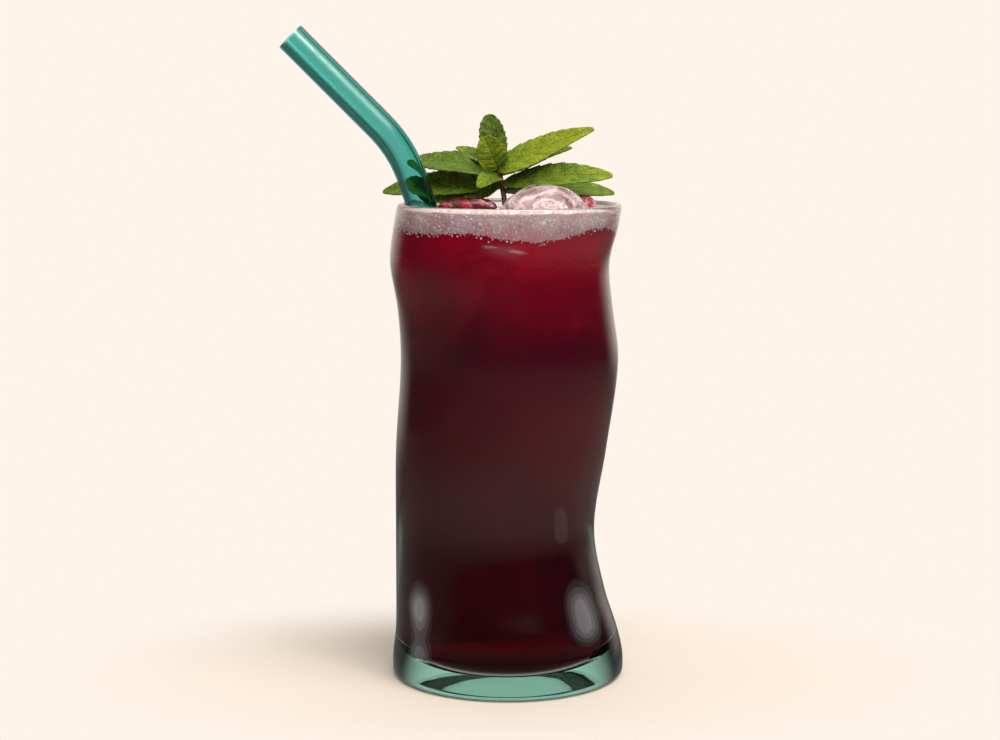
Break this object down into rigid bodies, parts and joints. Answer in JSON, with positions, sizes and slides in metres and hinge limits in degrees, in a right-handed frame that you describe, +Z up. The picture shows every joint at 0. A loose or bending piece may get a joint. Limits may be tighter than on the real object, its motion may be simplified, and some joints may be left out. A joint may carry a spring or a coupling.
{
  "type": "glass of pomegranate juice",
  "caption": "Tall wavy green-tinted tumbler filled with dark red pomegranate juice under pink froth, with ice, a bent teal glass straw and a sprig of mint.",
  "frame": {"origin": "centre of the tumbler's flat foot, on the surface it stands on", "axes": "+Z up, -Y towards the viewer of the picture, +X to the viewer's right; the straw's mouth end points to -X"},
  "size_m": [0.1068, 0.074, 0.2046],
  "materials": {
    "tinted_glass": "clear glass with a green tint, polished",
    "juice": "dark red juice, cloudy, smooth",
    "froth": "pinkish white froth of small bubbles",
    "clear_ice": "melting ice with bubbles, wet",
    "stained_ice": "ice stained red by juice, wet",
    "teal_glass": "teal glass, clear, polished",
    "mint_leaf": "fresh mint leaf, veined, slight sheen"
  },
  "bodies": {
    "root": {"glass": "tinted_glass", "juice": "juice", "froth": "froth", "ice_dome": "clear_ice", "ice_left": "stained_ice", "ice_right": "stained_ice", "straw": "teal_glass", "mint_sprig": "mint_leaf"}
  },
  "joints": []
}
